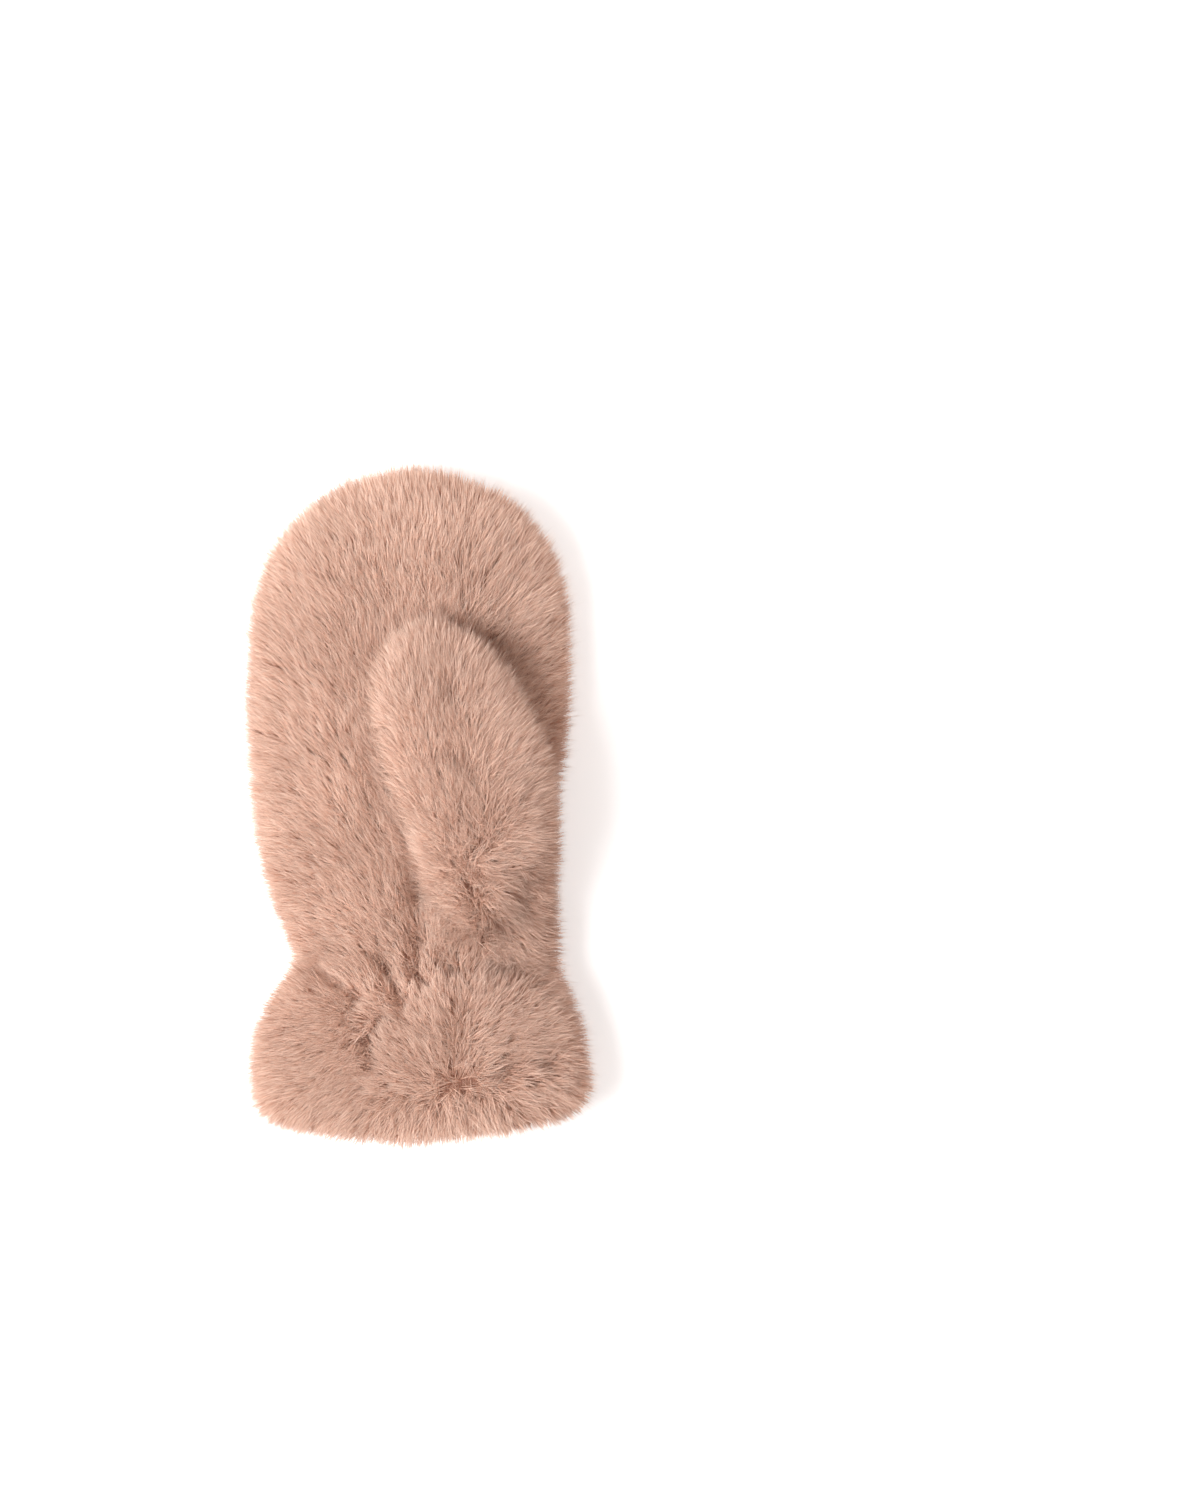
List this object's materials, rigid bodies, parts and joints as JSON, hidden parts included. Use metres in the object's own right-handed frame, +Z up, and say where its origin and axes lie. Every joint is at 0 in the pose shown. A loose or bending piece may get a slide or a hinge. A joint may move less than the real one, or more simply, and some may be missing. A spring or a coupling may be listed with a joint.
{
  "type": "fur mitten",
  "caption": "Long-pile fur mitten with a gathered wrist, a flared fur cuff and a thumb folded over the palm, lying palm up.",
  "frame": {"origin": "on the resting surface, under the middle of the mitten's bounding box", "axes": "+X towards the thumb's side, +Y from the cuff to the finger tips, +Z up, out of the palm"},
  "size_m": [0.1336, 0.26, 0.0756],
  "materials": {
    "palm_fur": "matt long pile, dusty rose beige",
    "back_fur": "matt long pile, dusty rose beige",
    "thumb_fur": "matt long pile, dusty rose beige",
    "cuff_fur": "matt long pile, dusty rose beige"
  },
  "bodies": {
    "root": {"palm_panel": "palm_fur", "back_panel": "back_fur", "thumb_stall": "thumb_fur", "cuff": "cuff_fur"}
  },
  "joints": []
}
